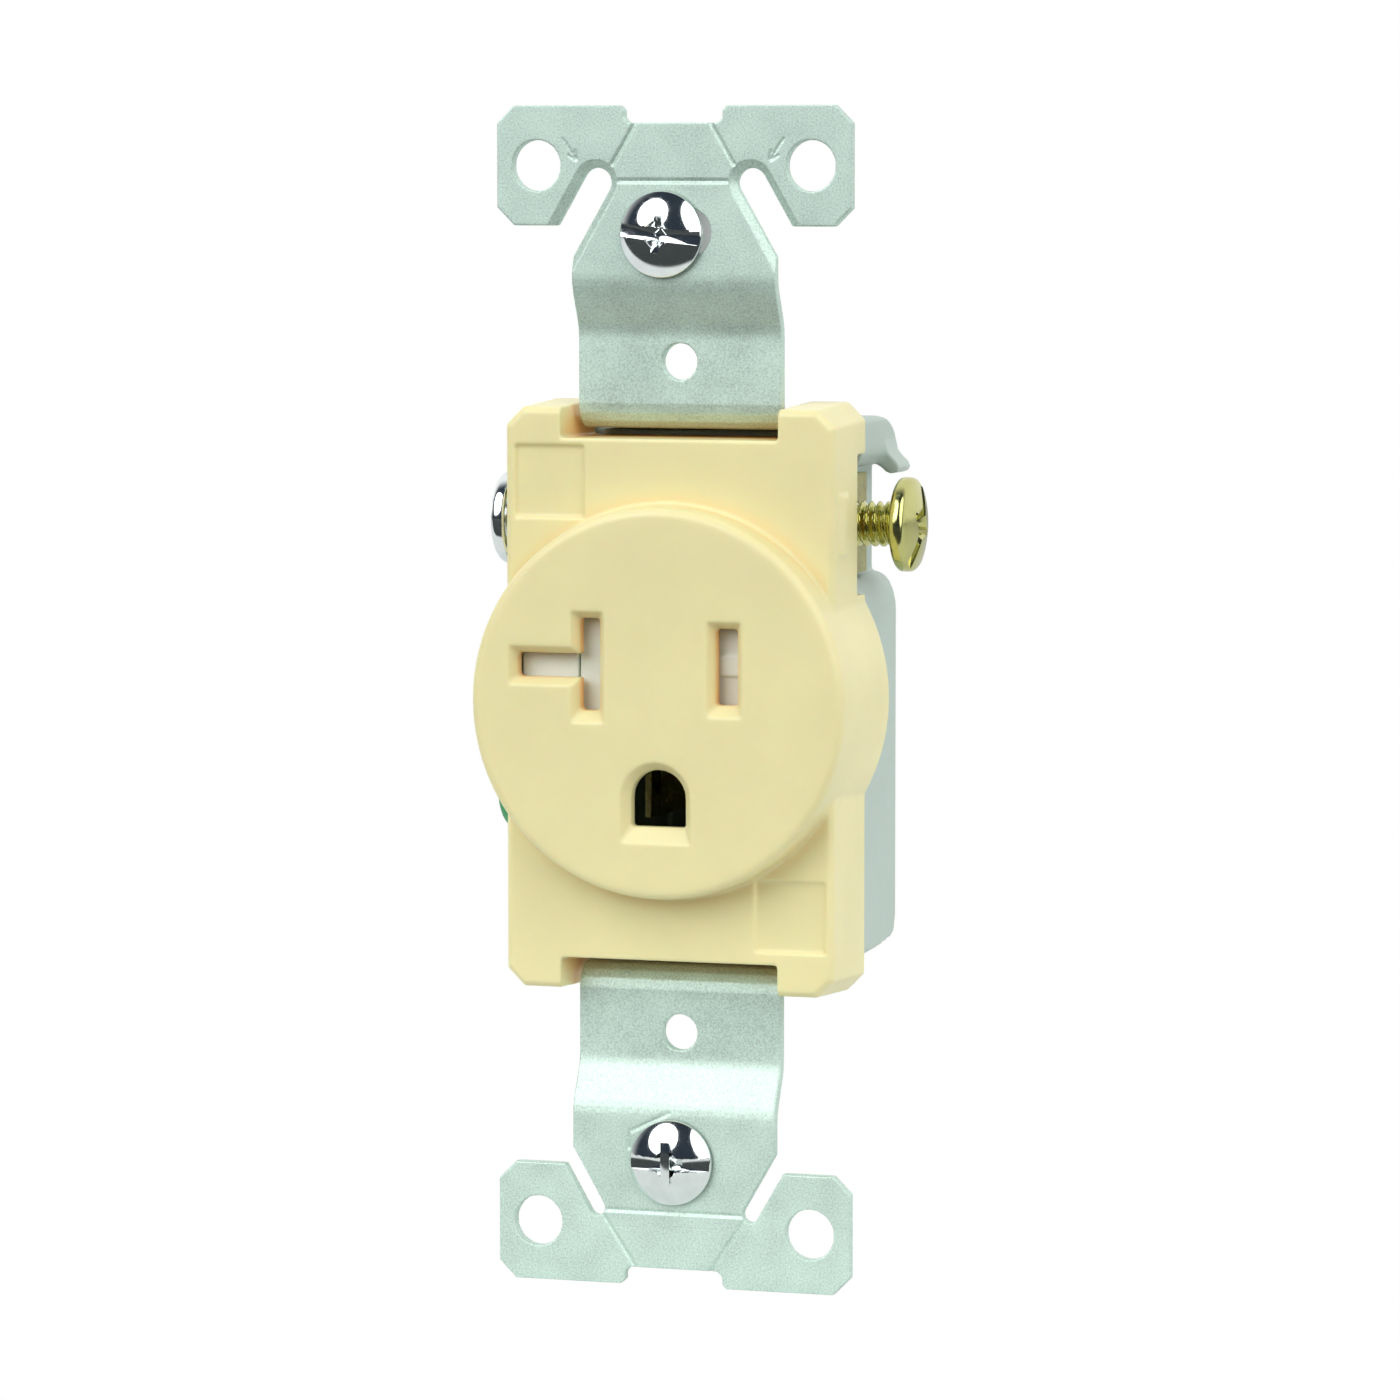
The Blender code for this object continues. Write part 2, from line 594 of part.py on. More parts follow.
def cut_terminal_seats(base):
    """Recesses for the two terminal plates and the strap's ground tab, and their screw holes."""
    for side in (-1, 1):
        cut(base, terminal_recess(side))
        join(base, wire_guard(side))
    half = TERMINAL_HALF_HEIGHT + GAP
    low, high = GROUND_TERMINAL_Z - half, GROUND_TERMINAL_Z + half
    cut(base, box(-BASE_HALF_WIDTH - 1, -RECESS_FLOOR + 0.3, BASE_FRONT - 1, BASE_BACK + 1, low, high))
    for side, z in ((1, TERMINAL_Z), (-1, TERMINAL_Z), (-1, GROUND_TERMINAL_Z)):
        low, high = sorted((side * 9.0, side * 17.0))
        bore = circle((TERMINAL_Y, z), TERMINAL_SHANK_RADIUS + SHANK_CLEARANCE, 24)
        cut(base, prism(bore, low, high, "X"))


def base_housing(material):
    base = base_shell()
    cut(base, box(-11.0, 11.0, BASE_FRONT - 1, BASE_FLOOR, BASE_BOTTOM + 1.6, BASE_CHANNEL_FLOOR - 1.6))
    cut(base, box(-13.6, 13.6, BASE_FRONT - 1, BASE_FLOOR, -3.0, 7.6))
    cut_terminal_seats(base)
    for end in (-1, 1):
        post = prism(circle((0, end * ASSEMBLY_Z), POST_RADIUS, 24), BASE_FRONT, BASE_FLOOR + 0.5)
        join(base, post)
        bore = circle((0, end * ASSEMBLY_Z), ASSEMBLY_CLEAR_RADIUS, 24)
        cut(base, prism(bore, BASE_FRONT - 1, BASE_BACK + 1))
    for side in (-1, 1):
        low, high = sorted((side * 3.6, side * 4.4))
        join(base, box(low, high, 11.0, BASE_FLOOR + 0.5, -14.0, -2.2))
    cut(base, prism(circle((0, RIVET_Z), RIVET_RADIUS + 0.15, 20), BASE_FLOOR - 1, BASE_BACK + 1))
    return place(base, "base_housing", material)


# ---------------------------------------------------------------- contacts

def leaf_pair(middle, half_gap, low, high, rear, axis="Z", squeeze=0.45):
    """A U of spring leaves that pinch in near the front and flare at the mouth."""
    outer = half_gap + LEAF_THICKNESS / 2
    pinch = outer - squeeze
    bend = rear - LEAF_THICKNESS / 2
    half_path = [(outer + 0.1, CONTACT_FRONT), (pinch, CONTACT_FRONT + 2.0), (outer, CONTACT_FRONT + 5.0),
                 (outer, bend)]
    points = [(middle - u, y) for u, y in half_path] + [(middle + u, y) for u, y in reversed(half_path)]
    radii = [0.8, 4.0, 0.7, 0.7, 4.0, 0.8]
    outline = ribbon(rounded_path(points, radii, 3), LEAF_THICKNESS)
    if axis == "X":
        outline = [(y, u) for u, y in outline]
    return prism(outline, low, high, axis)


def terminal_plate():
    """Right-hand terminal plate with its tapped hole, and the flange that leads inside."""
    z, half = TERMINAL_Z, TERMINAL_HALF_HEIGHT
    inner = TERMINAL_FACE - TERMINAL_THICKNESS
    plate = box(inner, TERMINAL_FACE, TERMINAL_FRONT, TERMINAL_REAR, z - half, z + half)
    flange = box(7.3, inner + 0.4, TERMINAL_FRONT, TERMINAL_FRONT + TERMINAL_THICKNESS, z - 3.3, z + 3.3)
    join(plate, flange)
    hole = circle((TERMINAL_Y, z), TERMINAL_HOLE_RADIUS, 24)
    return cut(plate, prism(hole, inner - 1, TERMINAL_FACE + 1, "X"))


def contact_leg():
    """Right-hand strip from the flange down to the outer leaf of the pair."""
    inner = BLADE_X + BLADE_HALF_GAP
    outer = inner + LEAF_THICKNESS
    front, rear = TERMINAL_FRONT + OFFSET, TERMINAL_FRONT + TERMINAL_THICKNESS
    top = TERMINAL_Z - 3.0
    strip = box(inner, outer, front, rear + 2.0, 6.0, top)
    return join(strip, box(inner, outer + 0.9, front, rear - OFFSET, top - 0.5, top + 0.5))


def hot_contact(material):
    contact = join(terminal_plate(), contact_leg())
    join(contact, leaf_pair(BLADE_X, BLADE_HALF_GAP, 0.1, 7.0, CONTACT_REAR))
    return place(contact, "hot_contact", material)


def neutral_contact(material):
    """Leaves for an upright blade, split in the middle, and a pair for a level 20 A blade."""
    contact = mirrored(join(terminal_plate(), contact_leg()))
    upright = leaf_pair(-BLADE_X, BLADE_HALF_GAP, -0.6, 7.3, CONTACT_REAR)
    middle = (CROSS_SLOT_LOW + CROSS_SLOT_HIGH) / 2
    cut(upright, box(-12.0, -BLADE_X - 0.5, 0.0, CONTACT_REAR - 1.5, middle - 1.4, middle + 1.4))
    join(contact, upright)
    level = leaf_pair(middle, 1.1, CROSS_SLOT_END + 0.1, -8.6, CONTACT_REAR, "X")
    join(contact, level)
    bridge_low = CONTACT_REAR - LEAF_THICKNESS + 0.05
    join(contact, box(-9.5, -7.0, bridge_low, CONTACT_REAR - 0.05, middle - 1.0, middle + 1.0))
    return place(contact, "neutral_contact", material)


def ground_contact(material):
    """U of leaves for the round pin, with a foot that is riveted to the strap."""
    rear = GROUND_CONTACT_REAR
    contact = leaf_pair(0, 2.35, GROUND_Z - 2.3, GROUND_Z + 2.5, rear, squeeze=0.15)
    foot = box(-2.0, 2.0, rear - LEAF_THICKNESS, rear, RIVET_Z - 1.9, GROUND_Z - 1.0)
    join(contact, foot)
    cut(contact, prism(circle((0, RIVET_Z), RIVET_RADIUS + 0.15, 20), rear - 2, rear + 1))
    return place(contact, "ground_contact", material)


# ---------------------------------------------------------------- shutters

def shutter_platform(material):
    """White disc behind the shutters, with a slot under each opening and the spring's stop."""
    disc = prism(circle((0, 0), PLATFORM_RADIUS, 48), PLATFORM_FRONT, PLATFORM_BACK)
    front, back = PLATFORM_FRONT - 1, PLATFORM_BACK + 1
    cut(disc, prism(hot_slot_outline(0.4, 0.4, 0.4), front, back))
    cut(disc, prism(t_slot_outline(0.3, 0.3, 0.3), front, back))
    cut(disc, prism(ground_outline(PIN_CLEARANCE, PIN_CLEARANCE), front, back))
    stop = box(SPRING_STOP_X, SPRING_STOP_X + 0.8, SHUTTER_FRONT, PLATFORM_FRONT + 0.2, 2.4, 4.4)
    join(disc, stop)
    for low, high in ((SHUTTER_LOW - 1.3, SHUTTER_LOW - 0.3), (SHUTTER_HIGH + 0.3, SHUTTER_HIGH + 1.3)):
        join(disc, box(-4.5, 11.0, SHUTTER_FRONT + 0.2, PLATFORM_FRONT + 0.2, low, high))
    return place(disc, "shutter_platform", material)


def shutter_slider(material):
    """Covers the hot slot and the upright part of the neutral slot.

    Its window comes under the hot slot when two blades push it to the right together.
    """
    slider = box(SLIDER_LEFT, SLIDER_RIGHT, SHUTTER_FRONT, SHUTTER_BACK, SHUTTER_LOW, SHUTTER_HIGH)
    window_left = BLADE_X - HOT_SLOT_WIDTH / 2 - SHUTTER_TRAVEL - 0.15
    window_right = window_left + HOT_SLOT_WIDTH + 0.3
    cut(slider, box(window_left, window_right, SHUTTER_FRONT - 1, SHUTTER_BACK + 1, -0.2, 7.0))
    ramp_right = SLIDER_RIGHT - 0.2
    join(slider, box(window_right + 0.1, ramp_right, SHUTTER_FRONT - 0.25, SHUTTER_FRONT + 0.2, 2.5, 4.4))
    return place(slider, "shutter_slider", material, (0, SHUTTER_FRONT, SPRING_Z))


def cross_shutter(material):
    """Covers the level part of the neutral slot and lifts clear of it."""
    left, right = CROSS_SLOT_END - 0.1, SLIDER_LEFT - 0.2
    low, high = CROSS_SLOT_LOW - 0.35, CROSS_SLOT_HIGH + 0.35
    outline = [(left, low), (right, low), (right, high), (left + 1.0, high), (left, high - 0.5)]
    shutter = prism(outline, SHUTTER_FRONT, SHUTTER_BACK)
    return place(shutter, "cross_shutter", material, (left, SHUTTER_FRONT, low))


def shutter_spring(material):
    """Compression coil between the slider and the platform's stop."""
    start, end = SLIDER_RIGHT + 0.15, SPRING_STOP_X - 0.15
    coil_radius, wire_radius, turns, steps, sides = 0.6, 0.13, 6, 14, 6
    bm = bmesh.new()
    rings = []
    total = turns * steps
    for i in range(total + 1):
        angle = 2 * math.pi * i / steps
        centre = Vector((start + wire_radius + (end - start - 2 * wire_radius) * i / total,
                         SPRING_Y + coil_radius * math.cos(angle), SPRING_Z + coil_radius * math.sin(angle)))
        outward = Vector((0, math.cos(angle), math.sin(angle)))
        ring = []
        for side in range(sides):
            turn = 2 * math.pi * side / sides
            offset = outward * math.cos(turn) + Vector((1, 0, 0)) * math.sin(turn)
            ring.append(bm.verts.new(centre + offset * wire_radius))
        rings.append(ring)
    bm.faces.new(rings[0])
    bm.faces.new(rings[-1])
    for lower, upper in zip(rings, rings[1:]):
        for i in range(sides):
            following = (i + 1) % sides
            bm.faces.new((lower[i], lower[following], upper[following], upper[i]))
    return place(to_solid(bm), "shutter_spring", material)


# ---------------------------------------------------------------- fasteners

def screw_solid(seat, direction, head, shank):
    """A domed, slotted screw; the seat is under the head.

    head is its radius, its height and the height of its upright rim; shank is its radius and length.
    """
    head_radius, head_height, rim = head
    shank_radius, shank_length = shank
    rim_low, point = min(0.35, rim * 0.5), 0.5
    profile = [(0, -shank_length), (shank_radius - point, -shank_length),
               (shank_radius, -shank_length + point + 0.1), (shank_radius, 0),
               (head_radius - rim_low, 0), (head_radius, rim_low), (head_radius, rim)]
    for degrees in (30, 55, 75):
        angle = math.radians(degrees)
        profile.append((head_radius * math.cos(angle), rim + (head_height - rim) * math.sin(angle)))
    profile.append((0, head_height))
    screw = turned(profile, seat, direction)
    half, reach = DRIVE_SLOT_WIDTH / 2, head_radius + 1
    slot = prism(rectangle(-reach, reach, -half, half), head_height - DRIVE_SLOT_DEPTH, head_height + 1, "Z")
    slot.data.transform(aimed(seat, direction))
    return cut(screw, slot)


def terminal_screw(name, side, seat_x, z, material):
    """8-32 binding-head screw, backed out to take a wire."""
    seat = (side * seat_x, TERMINAL_Y, z)
    head = (TERMINAL_HEAD_RADIUS, TERMINAL_HEAD_HEIGHT, TERMINAL_HEAD_BAND)
    shank = (TERMINAL_SHANK_RADIUS, TERMINAL_SHANK_LENGTH)
    return place(screw_solid(seat, (side, 0, 0), head, shank), name, material, seat)


def mounting_screw(name, x, z, material):
    """6-32 screw that holds the strap to the wall box."""
    seat = (x, -0.1, z)
    head = (BOX_HEAD_RADIUS, BOX_HEAD_HEIGHT, BOX_HEAD_BAND)
    shank = (BOX_SHANK_RADIUS, BOX_SHANK_LENGTH)
    return place(screw_solid(seat, (0, -1, 0), head, shank), name, material, seat)


def retaining_washer(name, x, z, material):
    """Plate behind the strap that keeps a mounting screw in its slot."""
    front, back = STRAP_THICKNESS + GAP, STRAP_THICKNESS + GAP + WASHER_THICKNESS
    half_width, half_height = WASHER_HALF_WIDTH, WASHER_HALF_HEIGHT
    washer = box(x - half_width, x + half_width, front, back, z - half_height, z + half_height)
    cut(washer, prism(circle((x, z), BOX_SHANK_RADIUS + 0.1, 24), front - 1, back + 1))
    return place(washer, name, material, (x, front, z))


def assembly_screw(name, z, material):
    """Long screw from the back, through strap and base into a post of the cover."""
    seat = (0, STRAP_BACK + 0.1, z)
    screw = screw_solid(seat, (0, 1, 0), (2.5, 1.5, 0.5), (ASSEMBLY_SHANK_RADIUS, 18.0))
    return place(screw, name, material, seat)


def ground_rivet(material):
    """Holds the ground contact's foot and the strap together through the base's back wall."""
    inner_head = GROUND_CONTACT_REAR - LEAF_THICKNESS - GAP
    outer_head = STRAP_BACK + GAP
    profile = [(0, inner_head - 0.6), (1.5, inner_head - 0.6), (1.9, inner_head - 0.3),
               (1.9, inner_head), (RIVET_RADIUS, inner_head), (RIVET_RADIUS, outer_head),
               (2.0, outer_head), (2.0, outer_head + 0.3), (1.4, outer_head + 0.7),
               (0, outer_head + 0.8)]
    rivet = turned(profile, (0, 0, RIVET_Z), (0, 1, 0), 20)
    return place(rivet, "ground_rivet", material)


def main():
    for leftover in list(bpy.data.objects):
        bpy.data.objects.remove(leftover)
    ivory = make_material("ivory_plastic", (0.77, 0.71, 0.39), 0.35, 0.0)
    grey = make_material("grey_plastic", (0.50, 0.58, 0.52), 0.5, 0.0)
    white = make_material("white_plastic", (0.75, 0.76, 0.62), 0.45, 0.0)
    zinc = make_material("galvanized_steel", (0.62, 0.68, 0.65), 0.45, 1.0)
    brass = make_material("brass", (0.72, 0.56, 0.20), 0.3, 1.0)
    bright = make_material("bright_plated_steel", (0.75, 0.78, 0.78), 0.15, 1.0)
    green = make_material("green_plated_steel", (0.10, 0.35, 0.16), 0.35, 1.0)
    nylon = make_material("white_nylon", (0.88, 0.89, 0.86), 0.5, 0.0)
    spring_steel = make_material("spring_steel", (0.6, 0.6, 0.6), 0.3, 1.0)

    mounting_strap(zinc)
    face_cover(ivory)
    base_housing(grey)
    hot_contact(brass)
    neutral_contact(brass)
    ground_contact(brass)
    shutter_platform(white)
    shutter_slider(white)
    cross_shutter(white)
    shutter_spring(spring_steel)
    terminal_screw("hot_terminal_screw", 1, 18.1, TERMINAL_Z, brass)
    terminal_screw("neutral_terminal_screw", -1, 18.3, TERMINAL_Z, bright)
    terminal_screw("ground_terminal_screw", -1, 17.7, GROUND_TERMINAL_Z, green)
    for place_name, (x, z) in (("top", TOP_SCREW), ("bottom", BOTTOM_SCREW)):
        mounting_screw("mounting_screw_" + place_name, x, z, bright)
        retaining_washer("retaining_washer_" + place_name, x, z, nylon)
    assembly_screw("assembly_screw_top", ASSEMBLY_Z, zinc)
    assembly_screw("assembly_screw_bottom", -ASSEMBLY_Z, zinc)
    ground_rivet(zinc)


main()
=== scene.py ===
"""Looks of a single 20 A wall receptacle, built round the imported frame.

Every length is in metres, in the frame's own axes: +X right, +Y back into the wall, +Z up.
"""

import json
import math

import bmesh
import bpy
from mathutils import Matrix, Vector


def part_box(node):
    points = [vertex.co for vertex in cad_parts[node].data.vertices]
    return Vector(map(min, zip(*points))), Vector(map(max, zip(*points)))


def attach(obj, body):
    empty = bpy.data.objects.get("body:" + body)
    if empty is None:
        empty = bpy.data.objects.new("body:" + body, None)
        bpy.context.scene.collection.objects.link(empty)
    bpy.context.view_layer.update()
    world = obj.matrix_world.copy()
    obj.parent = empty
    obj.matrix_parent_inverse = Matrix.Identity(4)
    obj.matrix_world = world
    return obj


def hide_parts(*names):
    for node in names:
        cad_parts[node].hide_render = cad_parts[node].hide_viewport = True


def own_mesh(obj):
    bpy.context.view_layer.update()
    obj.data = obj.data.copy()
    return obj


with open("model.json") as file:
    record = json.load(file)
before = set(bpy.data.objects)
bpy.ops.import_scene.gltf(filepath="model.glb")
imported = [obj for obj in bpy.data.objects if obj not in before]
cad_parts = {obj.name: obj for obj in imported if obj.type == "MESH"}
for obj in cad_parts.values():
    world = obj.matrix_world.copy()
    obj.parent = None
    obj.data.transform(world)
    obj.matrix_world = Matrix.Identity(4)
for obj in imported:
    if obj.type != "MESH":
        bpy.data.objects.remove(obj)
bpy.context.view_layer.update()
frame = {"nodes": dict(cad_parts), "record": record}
MM = 0.001

# Camera: where it stands round the device in degrees, and its lens in millimetres
CAMERA_TARGET = Vector((2.56, 0.0, 0.09)) * MM
CAMERA_AZIMUTH = 18.33
CAMERA_ELEVATION = 4.83
CAMERA_DISTANCE = 584.9 * MM
CAMERA_LENS = 168.6
CAMERA_SENSOR = 36.0

# Screws: one thread for them all, which is that of 8-32 and 6-32 screws
THREAD_PITCH = 0.794 * MM
THREAD_DEPTH = 0.40 * MM
THREAD_IN_HEAD = 0.25 * MM     # how far the shank reaches into the head
POINT_TAPER = 0.55 * MM        # how much the radius is less at the shank's tip,
POINT_SLOPE = 0.9              # and how fast it grows from there
SLOT_HALF_WIDTH = 0.57 * MM
SLOT_FLOOR_LIFT = 0.1 * MM     # over a point not quite halfway up the rim's rounding
WING_HALF_WIDTH = 0.42 * MM    # of the cross recess's upright wings
WING_REACH = 0.54              # as a share of the head's radius
HEAD_BEVEL = 0.03 * MM

# Studio
FLOOR_Z = -53.5 * MM           # the device stands on a white sheet
FLOOR_WHITE_Y = -50 * MM       # that reaches this far in front of it;
FLOOR_DARK_Y = -62 * MM        # beyond this the room is dark
SOFTBOX_DISTANCE = 1.6
FLOOR_REACH = 6.0              # from the middle to each edge
SHEET_COLOUR = (0.72, 0.74, 0.73)
DARK_COLOUR = (0.05, 0.055, 0.055)
PURE_WHITE = (1.0, 1.0, 1.0, 1.0)
DIM_ROOM = (0.03, 0.04, 0.055, 1.0)


# ---------------------------------------------------------------- materials

class Look:
    """A Principled material and the node tree it is patterned with."""

    def __init__(self, name, colour, roughness, metallic=0.0):
        self.material = bpy.data.materials.new(name)
        self.material.use_nodes = True
        self.tree = self.material.node_tree
        self.shader = self.tree.nodes["Principled BSDF"]
        self.set("Base Color", (*colour, 1.0))
        self.set("Roughness", roughness)
        self.set("Metallic", metallic)
        self.place = self.tree.nodes.new("ShaderNodeTexCoord").outputs["Object"]

    def set(self, socket, value):
        self.shader.inputs[socket].default_value = value

    def stretched(self, stretch):
        """The object's coordinates, stretched to draw a pattern out along an axis."""
        node = self.tree.nodes.new("ShaderNodeMapping")
        node.inputs["Scale"].default_value = stretch
        self.tree.links.new(self.place, node.inputs["Vector"])
        return node.outputs["Vector"]

    def noise(self, size, detail=3.0, stretch=(1, 1, 1)):
        """Noise whose features are about as large as size."""
        node = self.tree.nodes.new("ShaderNodeTexNoise")
        node.inputs["Scale"].default_value = 1 / size
        node.inputs["Detail"].default_value = detail
        self.tree.links.new(self.stretched(stretch), node.inputs["Vector"])
        return node.outputs["Fac"]

    def ramp(self, value, stops):
        """A colour ramp; stops are (position, colour) pairs."""
        node = self.tree.nodes.new("ShaderNodeValToRGB")
        elements = node.color_ramp.elements
        while len(elements) < len(stops):
            elements.new(0.5)
        for element, (position, colour) in zip(elements, stops):
            element.position = position
            element.color = (*colour, 1.0)
        self.tree.links.new(value, node.inputs["Fac"])
        return node.outputs["Color"]

    def scaled(self, value, low, high):
        """The middle half of a value that runs from 0 to 1, stretched between low and high."""
        node = self.tree.nodes.new("ShaderNodeMapRange")
        node.inputs["From Min"].default_value = 0.25
        node.inputs["From Max"].default_value = 0.75
        node.inputs["To Min"].default_value = low
        node.inputs["To Max"].default_value = high
        self.tree.links.new(value, node.inputs["Value"])
        return node.outputs["Result"]

    def colour_by(self, value, stops):
        self.tree.links.new(self.ramp(value, stops), self.shader.inputs["Base Color"])

    def paint_crevice_shade(self, colour, distance):
        """Painted shade: lets the present base colour turn into another one in hollows closer than
        distance.
        """
        open_air = self.tree.nodes.new("ShaderNodeAmbientOcclusion")
        open_air.samples = 8
        open_air.inputs["Distance"].default_value = distance
        openness = self.scaled(open_air.outputs["AO"], 0.0, 1.0)
        present = self.shader.inputs["Base Color"].links[0].from_socket
        mix = self.tree.nodes.new("ShaderNodeMix")
        mix.data_type = "RGBA"
        mix.inputs["A"].default_value = (*colour, 1.0)
        self.tree.links.new(openness, mix.inputs["Factor"])
        self.tree.links.new(present, mix.inputs["B"])
        self.tree.links.new(mix.outputs["Result"], self.shader.inputs["Base Color"])

    def roughness_by(self, value, low, high):
        self.tree.links.new(self.scaled(value, low, high), self.shader.inputs["Roughness"])

    def bump(self, *layers):
        """Layers are (height value, strength, depth in metres), from the coarsest to the finest."""
        normal = None
        for height, strength, depth in layers:
            node = self.tree.nodes.new("ShaderNodeBump")
            node.inputs["Strength"].default_value = strength
            node.inputs["Distance"].default_value = depth
            self.tree.links.new(height, node.inputs["Height"])
            if normal is not None:
                self.tree.links.new(normal, node.inputs["Normal"])
            normal = node.outputs["Normal"]
        self.tree.links.new(normal, self.shader.inputs["Normal"])


def shade(colour, factor):
    return tuple(min(1.0, channel * factor) for channel in colour)


def moulded_plastic(name, colour, roughness, mottle=0.03, scatter=0.15, crevice_shade_colour=None):
    """Satin moulded plastic: faint cloudiness, a fine skin texture and a little light inside.

    A crevice shade colour is painted shade, laid on the plastic where its own walls stand close together.
    """
    look = Look(name, colour, roughness)
    cloud = look.noise(9 * MM)
    look.colour_by(cloud, [(0.3, shade(colour, 1 - mottle)), (0.7, shade(colour, 1 + mottle))])
    # Painted shade in the hollows, from the crevice shade colour
    if crevice_shade_colour is not None:
        look.paint_crevice_shade(crevice_shade_colour, 4 * MM)
    look.roughness_by(look.noise(1.5 * MM), roughness - 0.04, roughness + 0.06)
    look.bump((look.noise(0.7 * MM), 0.10, 0.02 * MM), (look.noise(0.16 * MM), 0.18, 0.01 * MM))
    look.set("Subsurface Weight", scatter)
    look.set("Subsurface Radius", (1.0, 0.55, 0.25))
    look.set("Subsurface Scale", 1.2 * MM)
    return look.material


def galvanized_steel():
    """Zinc-coated strip: half dull oxide, half metal, grainy, with cloudy patches, streaks and painted
    shade in its grooves.
    """
    colour = (0.59, 0.74, 0.66)
    look = Look("galvanized_steel", colour, 0.5, 0.5)
    grain = look.noise(0.17 * MM, 5.0)
    patches = look.noise(3.5 * MM, 4.0)
    mixed = look.tree.nodes.new("ShaderNodeMix")
    mixed.inputs["Factor"].default_value = 0.75
    look.tree.links.new(patches, mixed.inputs["A"])
    look.tree.links.new(grain, mixed.inputs["B"])
    blend = mixed.outputs["Result"]
    look.colour_by(blend, [(0.34, shade(colour, 0.76)), (0.50, colour), (0.66, shade(colour, 1.18))])
    # Painted shade: darker grey-green in the score grooves and the slots' inner corners
    look.paint_crevice_shade((0.16, 0.21, 0.17), 0.7 * MM)
    look.roughness_by(patches, 0.44, 0.56)
    streaks = look.noise(0.5 * MM, 3.0, stretch=(1, 1, 0.06))
    look.bump((streaks, 0.12, 0.02 * MM), (grain, 0.4, 0.02 * MM))
    return look.material


def plated(name, colour, roughness, wear=0.05):
    """Bright plating over a machined screw: mirror-like, with faint haze and fine marks."""
    look = Look(name, colour, roughness, 1.0)
    haze = look.noise(1.2 * MM, 4.0)
    look.colour_by(haze, [(0.3, shade(colour, 1 - wear)), (0.7, shade(colour, 1 + wear))])
    look.roughness_by(look.noise(0.5 * MM, 4.0), roughness * 0.7, roughness * 1.5)
    look.bump((look.noise(1.6 * MM), 0.06, 0.03 * MM), (look.noise(0.2 * MM), 0.05, 0.01 * MM))
    return look.material


def stamped_brass():
    """Spring brass with rolling streaks and a slight tarnish."""
    colour = (0.46, 0.44, 0.18)
    look = Look("stamped_brass", colour, 0.3, 1.0)
    look.colour_by(look.noise(3 * MM, 4.0), [(0.3, shade(colour, 0.82)), (0.7, shade(colour, 1.08))])
    look.roughness_by(look.noise(0.8 * MM), 0.22, 0.42)
    look.bump((look.noise(0.4 * MM, 3.0, stretch=(1, 1, 0.08)), 0.2, 0.01 * MM))
    return look.material


def natural_nylon():
    """Milky nylon that lets a good part of the light from behind through."""
    colour = (0.93, 0.94, 0.92)
    look = Look("natural_nylon", colour, 0.4)
    look.colour_by(look.noise(2 * MM), [(0.3, shade(colour, 0.97)), (0.7, shade(colour, 1.03))])
    look.bump((look.noise(0.5 * MM), 0.1, 0.02 * MM))
    look.set("Subsurface Weight", 1.0)
    look.set("Subsurface Radius", (1.0, 1.0, 1.0))
    look.set("Subsurface Scale", 3 * MM)
    return look.material


# ---------------------------------------------------------------- shapes

def add_object(name, mesh):
    piece = bpy.data.objects.new(name, mesh)
    bpy.context.scene.collection.objects.link(piece)
    return piece


def bake_modifiers(piece):
    """Turns a piece's modifiers into its mesh, shaded smooth."""
    evaluated = piece.evaluated_get(bpy.context.evaluated_depsgraph_get())
    mesh = bpy.data.meshes.new_from_object(evaluated)
    piece.modifiers.clear()
    piece.data = mesh
    mesh.shade_smooth()


def soften(piece, voxel, rounds, keep):
    """Rounds a piece's edges: a fine remesh, some smoothing, then fewer faces where it is flat."""
    remesh = piece.modifiers.new("remesh", "REMESH")
    remesh.mode = "VOXEL"
    remesh.voxel_size = voxel
    smooth = piece.modifiers.new("smooth", "SMOOTH")
    smooth.factor = 0.5
    smooth.iterations = rounds
    fewer = piece.modifiers.new("fewer", "DECIMATE")
    fewer.ratio = keep
    bake_modifiers(piece)


def finish_piece(piece, node, material):
    """The piece stands for a CAD node and moves with that node's body."""
    piece.data.materials.clear()
    piece.data.materials.append(material)
    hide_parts(node)
    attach(piece, BODY_OF[node])


def softened_copy(node, material, voxel, rounds, keep):
    piece = add_object(node + "_soft", frame["nodes"][node].data.copy())
    soften(piece, voxel, rounds, keep)
    finish_piece(piece, node, material)


def ring(bm, points):
    return [bm.verts.new(point) for point in points]


def bridge(bm, lower, upper):
    count = len(lower)
    for i in range(count):
        following = (i + 1) % count
        bm.faces.new((lower[i], lower[following], upper[following], upper[i]))


def mesh_from(bm, name):
    bmesh.ops.recalc_face_normals(bm, faces=bm.faces)
    mesh = bpy.data.meshes.new(name)
    bm.to_mesh(mesh)
    bm.free()
    return mesh


def screw_head(name, radius, height, band, rounding):
    """Domed head on +Z with its seat at 0: a rim as high as band, its rounded edges, then a dome."""
    seat_rounding = rounding * 0.6
    steps, segments = 16, 96
    profile = []
    for degrees in (-90, -60, -30, 0):
        angle = math.radians(degrees)
        profile.append((radius - seat_rounding * (1 - math.cos(angle)),
                        seat_rounding * (1 + math.sin(angle))))
    for degrees in (0, 20, 40, 60):
        angle = math.radians(degrees)
        profile.append((radius - rounding * (1 - math.cos(angle)), band + rounding * math.sin(angle)))
    rim, start = profile[-1]
    rise = height - start
    curve = (rim ** 2 + rise ** 2) / (2 * rise)
    widest = math.asin(rim / curve)
    for step in range(1, steps):
        angle = widest * (1 - step / steps)
        profile.append((curve * math.sin(angle), height - curve * (1 - math.cos(angle))))
    bm = bmesh.new()
    rings = []
    for r, z in profile:
        angles = (2 * math.pi * i / segments for i in range(segments))
        rings.append(ring(bm, [(r * math.cos(a), r * math.sin(a), z) for a in angles]))
    bm.faces.new(rings[0])
    bm.faces.new(rings[-1])
    for lower, upper in zip(rings, rings[1:]):
        bridge(bm, lower, upper)
    return add_object(name, mesh_from(bm, name))


